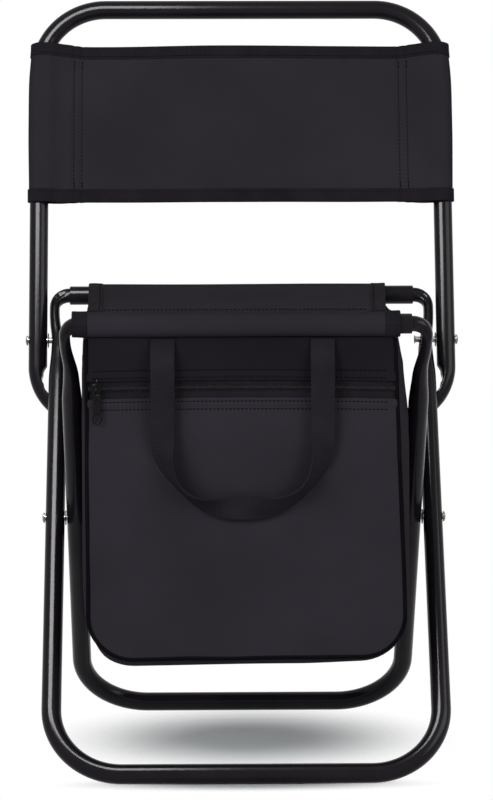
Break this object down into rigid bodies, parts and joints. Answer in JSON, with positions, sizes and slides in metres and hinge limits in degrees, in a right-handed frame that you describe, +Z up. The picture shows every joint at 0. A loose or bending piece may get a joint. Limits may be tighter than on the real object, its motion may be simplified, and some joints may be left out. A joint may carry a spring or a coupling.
{
  "type": "folding cooler stool",
  "caption": "Folding tube-frame stool with a hinged fabric backrest, a cloth seat over crossed legs and an insulated zip bag with a webbing handle under the seat.",
  "frame": {"origin": "on the floor, under the middle of the stool's outer box with the seat unfolded", "axes": "+Z up, -Y to the front where the bag's zip is, +X to the right in the front view"},
  "size_m": [0.3708, 0.36, 0.6189],
  "materials": {
    "black_paint": "gloss black powder coat",
    "nickel": "bright nickel plate",
    "cloth": "black woven polyester",
    "binding_tape": "black ribbed tape",
    "webbing": "black ribbed webbing",
    "zip_plastic": "satin black",
    "lining": "silver film on foam"
  },
  "bodies": {
    "front_leg_frame": {"front_leg_tube": "black_paint", "rear_seat_bar": "black_paint", "leg_pivot_rivet_left": "nickel", "leg_pivot_rivet_right": "nickel", "leg_pivot_washer_left": "nickel", "leg_pivot_washer_right": "nickel", "backrest_pivot_rivet_left": "nickel", "backrest_pivot_rivet_right": "nickel", "backrest_pivot_washer_left": "nickel", "backrest_pivot_washer_right": "nickel", "seat_rear_sleeve": "cloth", "seat_panel": "cloth", "seat_binding_left": "binding_tape", "seat_binding_right": "binding_tape"},
    "rear_leg_frame": {"rear_leg_tube": "black_paint", "front_seat_bar": "black_paint", "seat_front_sleeve": "cloth"},
    "backrest": {"backrest_tube": "black_paint", "backrest_sling": "cloth", "backrest_binding_top": "binding_tape", "backrest_binding_bottom": "binding_tape"},
    "cooler_bag": {"bag_upper_panel": "cloth", "bag_front_panel": "cloth", "bag_back_panel": "cloth", "bag_gusset": "cloth", "bag_piping_front": "binding_tape", "bag_piping_back": "binding_tape", "bag_lining": "lining", "zip_tape_upper": "binding_tape", "zip_tape_lower": "binding_tape", "zip_coil": "zip_plastic"},
    "handle": {"carry_handle": "webbing"},
    "zip_slider": {"zip_slider": "zip_plastic"},
    "zip_puller": {"zip_puller": "zip_plastic"}
  },
  "joints": [
    {"name": "frame_fold", "type": "hinge", "parent": "front_leg_frame", "child": "rear_leg_frame", "pos_m": [0, -0.03297, 0.193], "axis": [-1, 0, 0], "range_deg": [0, 62], "deforming": ["seat_panel", "seat_binding_left", "seat_binding_right", "bag_back_panel", "bag_gusset", "bag_piping_back", "bag_lining"]},
    {"name": "backrest_fold", "type": "hinge", "parent": "front_leg_frame", "child": "backrest", "pos_m": [0, 0.07026, 0.3304], "axis": [1, 0, 0], "range_deg": [0, 84]},
    {"name": "bag_hang", "type": "hinge", "parent": "rear_leg_frame", "child": "cooler_bag", "pos_m": [0, -0.16333, 0.3665], "axis": [-1, 0, 0], "range_deg": [-31, 0]},
    {"name": "handle_lift", "type": "hinge", "parent": "cooler_bag", "child": "handle", "pos_m": [-0.003, -0.16518, 0.35515], "axis": [-1, 0, 0], "range_deg": [0, 90]},
    {"name": "zip_slide", "type": "slide", "parent": "cooler_bag", "child": "zip_slider", "axis": [1, 0, 0], "range_m": [0, 0.229]},
    {"name": "zip_puller_swing", "type": "hinge", "parent": "zip_slider", "child": "zip_puller", "pos_m": [-0.1175, -0.16813, 0.3145], "axis": [0, 1, 0], "range_deg": [-70, 70]}
  ],
  "couplings": [
    {"joint": "bag_hang", "follows": "frame_fold", "ratio": -0.5}
  ]
}
